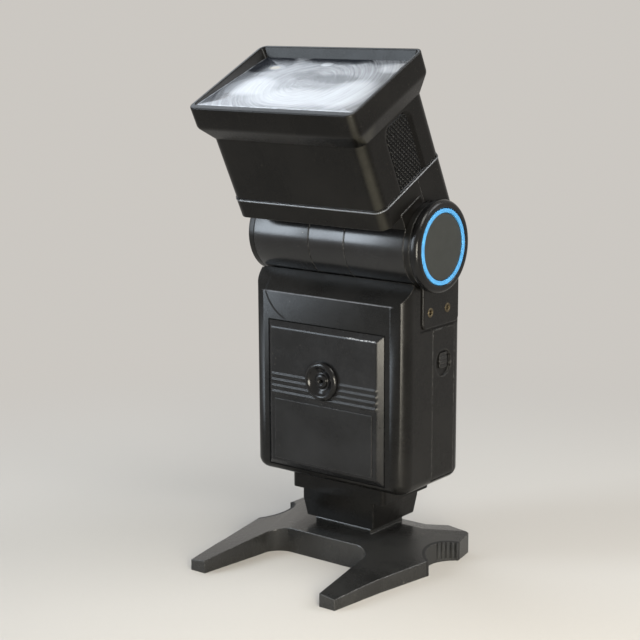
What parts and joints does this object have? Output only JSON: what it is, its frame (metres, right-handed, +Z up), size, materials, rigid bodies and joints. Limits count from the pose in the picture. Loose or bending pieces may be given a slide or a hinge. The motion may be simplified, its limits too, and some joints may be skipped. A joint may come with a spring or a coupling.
{
  "type": "zoom flash unit",
  "caption": "Shoe-mount flash with a tilting zoom head, side battery door and rear controls, on a low forked stand.",
  "frame": {"origin": "on the table under the middle of the stand's shoe, at the mouth of the threaded hole", "axes": "+Z up, -Y towards the front of the flash, +X towards the hinge disc"},
  "size_m": [0.0815, 0.0806, 0.1902],
  "materials": {
    "case_plastic": "satin moulded black plastic, finely scuffed",
    "panel_plastic": "satin black plastic",
    "gloss_black": "polished black plastic",
    "barrel_plastic": "semi-gloss black plastic",
    "name_plate": "bare dark plate",
    "grip_rubber": "pimpled black",
    "ring_blue": "light blue enamel",
    "disc_grey": "dark grey satin",
    "shoe_metal": "satin metal",
    "steel": "plated",
    "contact_metal": "nickel plated",
    "gold_contacts": "dull brass",
    "photocell": "dark brown",
    "lens_plastic": "clear grooved plastic",
    "mirror_metal": "bright anodised",
    "tube_glass": "clear",
    "cell_wrap": "plain wrapped cells",
    "tray_plastic": "plain",
    "capacitor_sleeve": "dark blue sleeve",
    "circuit_board": "resin board",
    "transformer_tape": "taped winding",
    "coil_copper": "enamelled wire",
    "switch_white": "off-white",
    "button_red": "red",
    "lamp_amber": "amber lens"
  },
  "bodies": {
    "stand": {"stand_base": "case_plastic", "tripod_bush": "gold_contacts"},
    "flash": {"module_housing": "case_plastic", "module_connector": "tray_plastic", "shoe_foot": "shoe_metal", "shoe_contacts": "gold_contacts", "front_case": "case_plastic", "back_case": "case_plastic", "case_screws": "steel", "front_panel": "panel_plastic", "name_plate": "name_plate", "sensor_bezel": "gloss_black", "sensor_tube": "gloss_black", "photocell": "photocell", "right_arm": "case_plastic", "left_arm": "case_plastic", "side_sockets": "gold_contacts", "door_pin": "steel", "battery_cells": "cell_wrap", "battery_tray": "tray_plastic", "battery_springs": "contact_metal", "main_capacitors": "capacitor_sleeve", "main_board": "circuit_board", "transformer": "transformer_tape", "trigger_coil": "coil_copper", "control_board": "circuit_board", "control_panel": "panel_plastic", "indicator_lamps": "lamp_amber", "hinge_yoke": "barrel_plastic", "hinge_axle": "steel", "friction_washers": "steel", "hinge_disc": "gloss_black", "disc_ring": "ring_blue", "disc_face": "disc_grey"},
    "head": {"head_front_half": "case_plastic", "head_back_half": "case_plastic", "head_screws": "steel", "reflector": "mirror_metal", "flash_tube": "tube_glass", "tube_boots": "grip_rubber"},
    "zoom": {"zoom_sleeve": "case_plastic", "grip_pads": "grip_rubber", "bezel": "case_plastic", "fresnel_lens": "lens_plastic"},
    "door": {"battery_door": "case_plastic", "door_contacts": "contact_metal"},
    "latch": {"door_latch": "case_plastic"},
    "dial": {"mode_dial": "gloss_black"},
    "power": {"power_switch": "switch_white"},
    "speed": {"film_speed_slider": "gloss_black"},
    "test": {"test_button": "button_red"}
  },
  "joints": [
    {"name": "shoe_slide", "type": "slide", "parent": "stand", "child": "flash", "axis": [0, 1, 0], "range_m": [0, 0.02]},
    {"name": "head_tilt", "type": "hinge", "parent": "flash", "child": "head", "pos_m": [0, -0.006, 0.1209], "axis": [1, 0, 0], "range_deg": [-26.3, 63.7]},
    {"name": "zoom_slide", "type": "slide", "parent": "head", "child": "zoom", "axis": [0, -0.4431, 0.8965], "range_m": [0, 0.014]},
    {"name": "door_swing", "type": "hinge", "parent": "flash", "child": "door", "pos_m": [0.0339, 0.0035, 0.03375], "axis": [0, 1, 0], "range_deg": [0, 90]},
    {"name": "latch_slide", "type": "slide", "parent": "door", "child": "latch", "axis": [0, 0, -1], "range_m": [0, 0.002], "stiffness_N_per_m": 60},
    {"name": "mode_turn", "type": "hinge", "parent": "flash", "child": "dial", "pos_m": [0.009, 0.017, 0.0683], "axis": [0, 1, 0], "range_deg": [0, 120]},
    {"name": "power_slide", "type": "slide", "parent": "flash", "child": "power", "axis": [1, 0, 0], "range_m": [0, 0.005]},
    {"name": "speed_slide", "type": "slide", "parent": "flash", "child": "speed", "axis": [1, 0, 0], "range_m": [0, 0.028]},
    {"name": "test_press", "type": "slide", "parent": "flash", "child": "test", "axis": [0, -1, 0], "range_m": [0, 0.001], "stiffness_N_per_m": 150}
  ]
}
